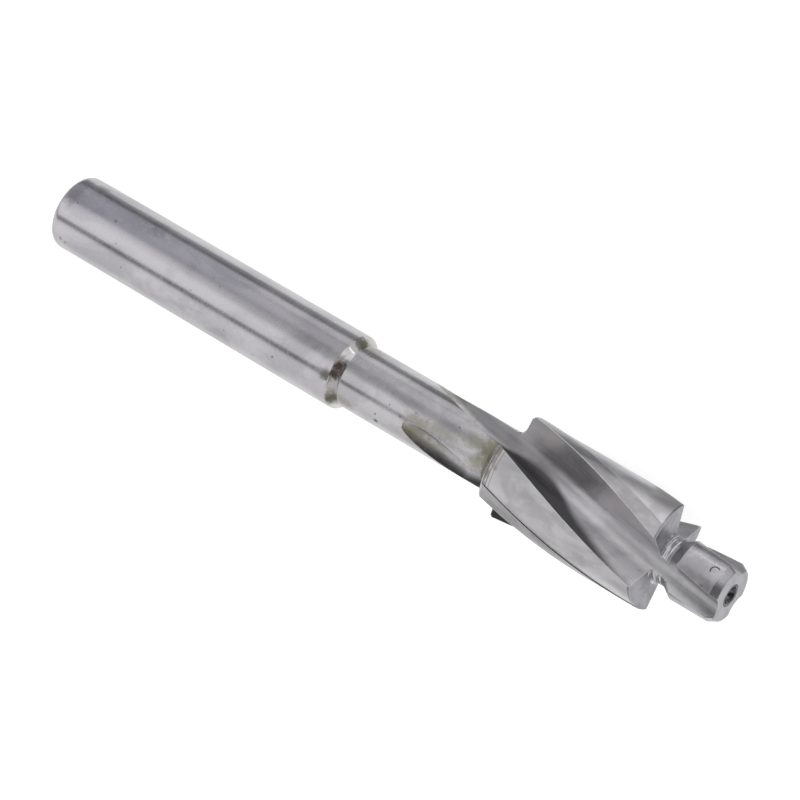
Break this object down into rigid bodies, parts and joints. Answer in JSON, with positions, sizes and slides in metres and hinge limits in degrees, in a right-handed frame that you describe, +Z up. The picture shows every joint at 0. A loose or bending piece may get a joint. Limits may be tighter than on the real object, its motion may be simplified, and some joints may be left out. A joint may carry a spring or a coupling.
{
  "type": "counterbore cutter",
  "caption": "Straight-shank counterbore cutter with right-hand helical flutes and a solid pilot, for seating socket screw heads flush.",
  "frame": {"origin": "middle of the floor under the tool's box, with the tool lying on its shank end and its head", "axes": "+X from the shank end to the tip along the floor, +Y across the tool, +Z up; the tool's own axis leans up by 1.25 degrees towards the head"},
  "size_m": [0.0822, 0.0108, 0.0109],
  "materials": {
    "tool_steel": "satin"
  },
  "bodies": {
    "root": {"counterbore_cutter": "tool_steel"}
  },
  "joints": []
}
